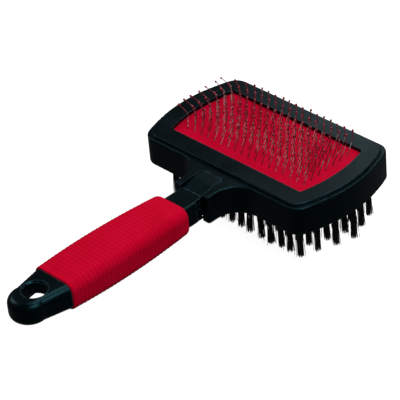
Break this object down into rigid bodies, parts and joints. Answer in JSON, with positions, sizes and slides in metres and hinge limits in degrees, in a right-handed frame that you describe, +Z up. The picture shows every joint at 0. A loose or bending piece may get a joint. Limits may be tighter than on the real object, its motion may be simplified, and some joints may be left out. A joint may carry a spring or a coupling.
{
  "type": "slicker brush",
  "caption": "Two-sided grooming brush: wire pins on a red pad, bristle tufts below, tilting head with a brake button, ribbed rubber handle and hanging hole.",
  "frame": {"origin": "below the middle of the bounding box, on the surface that the brush rests on, with bristle tips and grip touching it", "axes": "+Y from the handle towards the head, +X along the head, +Z up, pins uppermost; the brush leans so that its head is higher than its tail"},
  "size_m": [0.1238, 0.2112, 0.0633],
  "materials": {
    "black_gloss": "moulded polypropylene, soft gloss with fine scratches",
    "black_satin": "moulded plastic, satin",
    "red_rubber": "ribbed thermoplastic rubber, dull",
    "red_pad": "smooth rubber pad, semi-matte",
    "cloth": "woven cotton backing",
    "foam": "closed-cell foam sheet",
    "pin_wire": "bright drawn wire",
    "red_ball": "dipped epoxy ball",
    "black_bristle": "nylon filament",
    "anchor_wire": "flattened brass wire",
    "plated_steel": "zinc plated",
    "spring_steel": "spring wire",
    "acetal": "black acetal"
  },
  "bodies": {
    "handle": {"handle_core": "black_gloss", "rubber_grip": "red_rubber", "pivot_bush": "acetal"},
    "head": {"head_housing": "black_gloss", "bezel_frame": "black_gloss", "slicker_cushion": "red_pad", "foundation_cloth": "cloth", "foam_pad": "foam", "staple_row_1": "pin_wire", "staple_row_2": "pin_wire", "staple_row_3": "pin_wire", "staple_row_4": "pin_wire", "staple_row_5": "pin_wire", "staple_row_6": "pin_wire", "staple_row_7": "pin_wire", "ball_tips_1": "red_ball", "ball_tips_2": "red_ball", "ball_tips_3": "red_ball", "ball_tips_4": "red_ball", "ball_tips_5": "red_ball", "ball_tips_6": "red_ball", "ball_tips_7": "red_ball", "bristle_block": "black_satin", "bristle_row_1": "black_bristle", "bristle_row_2": "black_bristle", "bristle_row_3": "black_bristle", "bristle_row_4": "black_bristle", "bristle_row_5": "black_bristle", "bristle_row_6": "black_bristle", "tuft_anchors": "anchor_wire", "block_screws": "plated_steel", "pivot_pin": "plated_steel", "friction_washers": "acetal", "button_spring": "spring_steel"},
    "button": {"release_button": "black_satin"}
  },
  "joints": [
    {"name": "head_tilt", "type": "hinge", "parent": "handle", "child": "head", "pos_m": [0, 0.02136, 0.0284], "axis": [1, 0, 0], "range_deg": [-25, 25]},
    {"name": "button_press", "type": "slide", "parent": "head", "child": "button", "axis": [0, 0.1991, -0.98], "range_m": [0, 0.0012], "stiffness_N_per_m": 1500, "deforming": ["button_spring"]}
  ]
}
